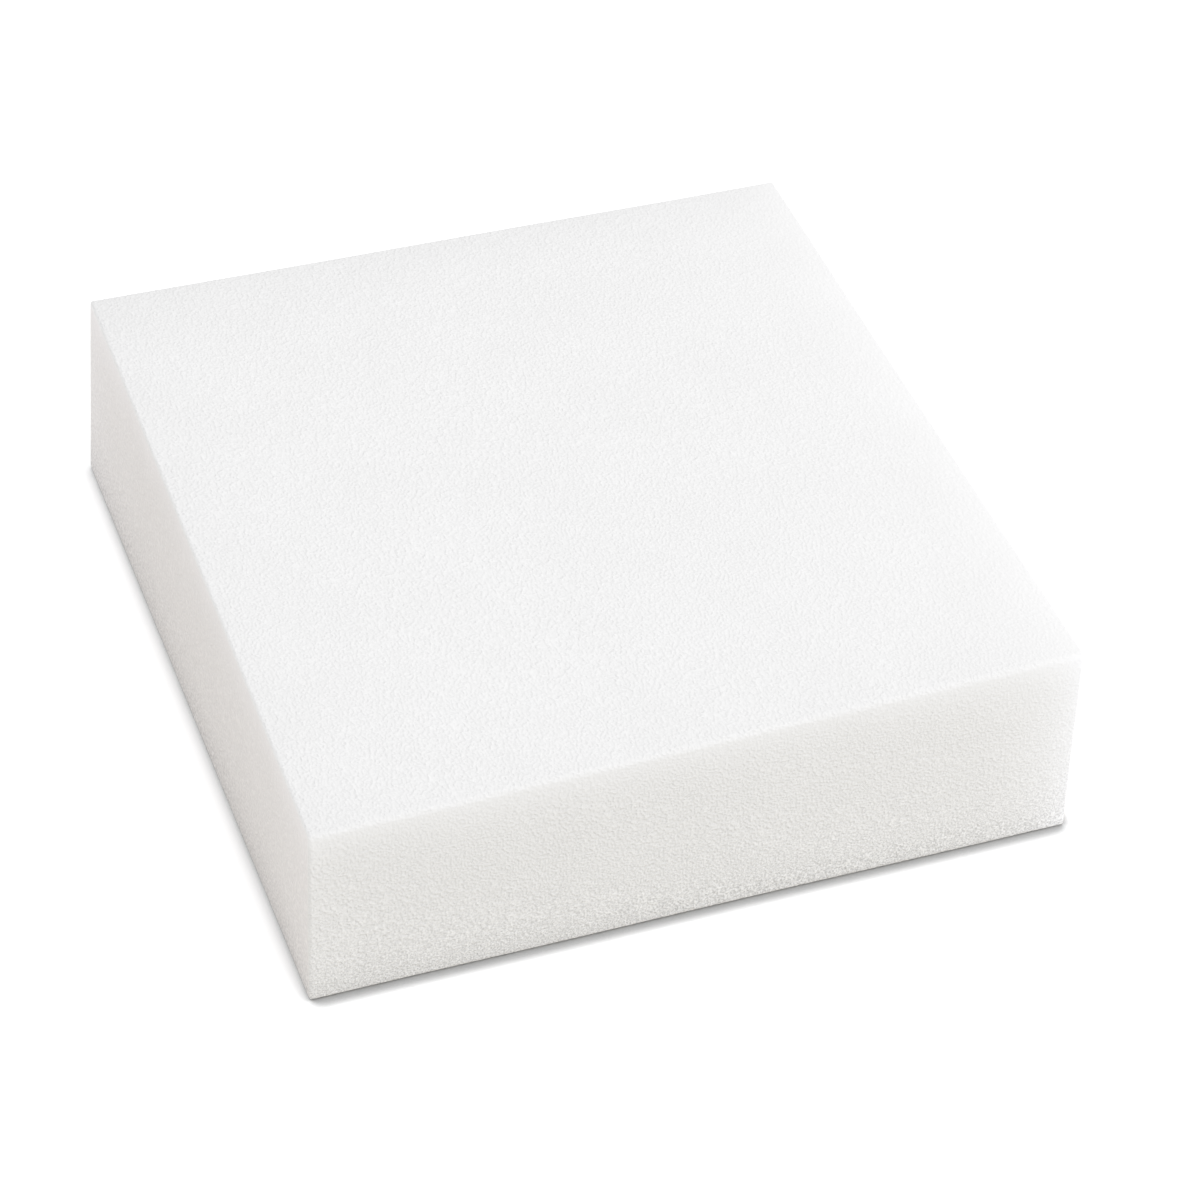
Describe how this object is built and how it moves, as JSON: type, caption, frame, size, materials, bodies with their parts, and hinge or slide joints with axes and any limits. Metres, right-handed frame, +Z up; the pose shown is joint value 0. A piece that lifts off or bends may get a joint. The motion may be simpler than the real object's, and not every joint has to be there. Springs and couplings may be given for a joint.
{
  "type": "nail buffer block",
  "caption": "Near-square slab of fine white foam with a thin grit coat on its long faces and bare cut ends, held in the hand to buff and smooth nails.",
  "frame": {"origin": "centre of the face the block rests on, at floor level", "axes": "+Z up, the front face looks along -Y, +X runs from the left bare end to the right bare end"},
  "size_m": [0.09, 0.095, 0.025],
  "materials": {
    "foam": "matte",
    "bond_resin": "satin",
    "grit": "matte"
  },
  "bodies": {
    "root": {"foam_core": "foam", "top_bond_coat": "bond_resin", "top_grit_coat": "grit", "bottom_bond_coat": "bond_resin", "bottom_grit_coat": "grit", "front_bond_coat": "bond_resin", "front_grit_coat": "grit", "back_bond_coat": "bond_resin", "back_grit_coat": "grit"}
  },
  "joints": []
}
